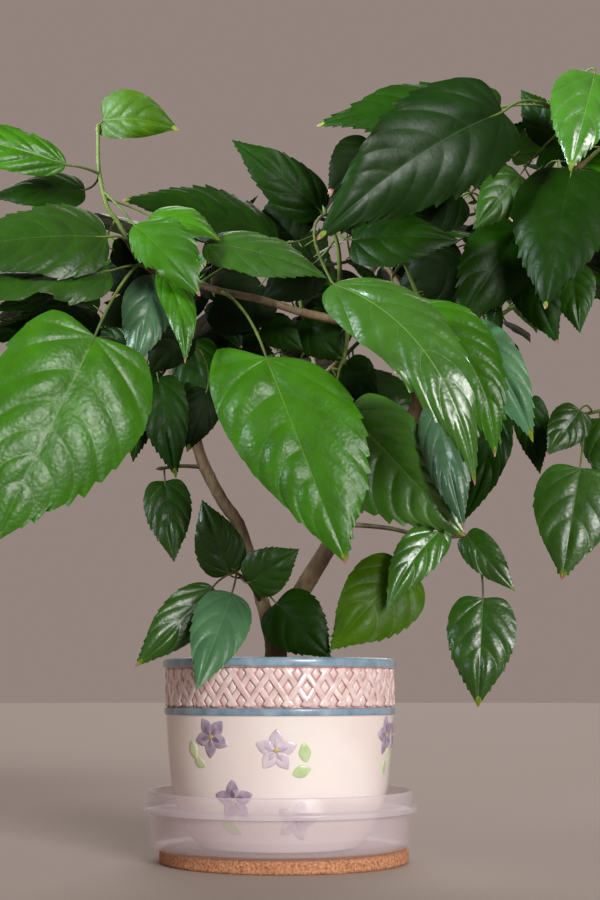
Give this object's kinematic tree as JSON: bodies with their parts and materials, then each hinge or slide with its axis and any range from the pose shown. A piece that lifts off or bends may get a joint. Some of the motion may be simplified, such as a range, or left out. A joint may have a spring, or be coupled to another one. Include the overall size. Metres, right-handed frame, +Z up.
{
  "type": "potted hibiscus shrub",
  "caption": "Indoor hibiscus shrub with forked stems and drooping toothed leaves, in a glazed pot on a clear saucer tub and cork mat.",
  "frame": {"origin": "pot's axis at the underside of the cork mat", "axes": "+Z up, -Y towards the viewer of the picture, +X to the viewer's right"},
  "size_m": [0.5268, 0.3489, 0.5895],
  "materials": {
    "cork": "matte",
    "clear_plastic": "satin",
    "glaze": "gloss",
    "soil": "matte",
    "bark": "matte",
    "foliage": "satin"
  },
  "bodies": {
    "root": {"cork_mat": "cork", "saucer_tub": "clear_plastic", "pot": "glaze", "soil": "soil", "trunk": "bark", "left_stem": "bark", "right_bough": "bark", "upper_bough": "bark", "front_bough": "bark", "leaves_front_left": "foliage", "leaves_front_middle": "foliage", "leaves_under_bough": "foliage", "leaves_front_right": "foliage", "leaves_top_right": "foliage", "leaves_low_right": "foliage", "leaves_base_shoot": "foliage", "leaves_low_shoot": "foliage", "leaves_left_twig": "foliage", "leaves_left_crown": "foliage", "leaves_top_middle": "foliage", "leaves_left_back": "foliage", "leaves_middle_back": "foliage", "leaves_right_back": "foliage", "leaves_top_back": "foliage"}
  },
  "joints": []
}
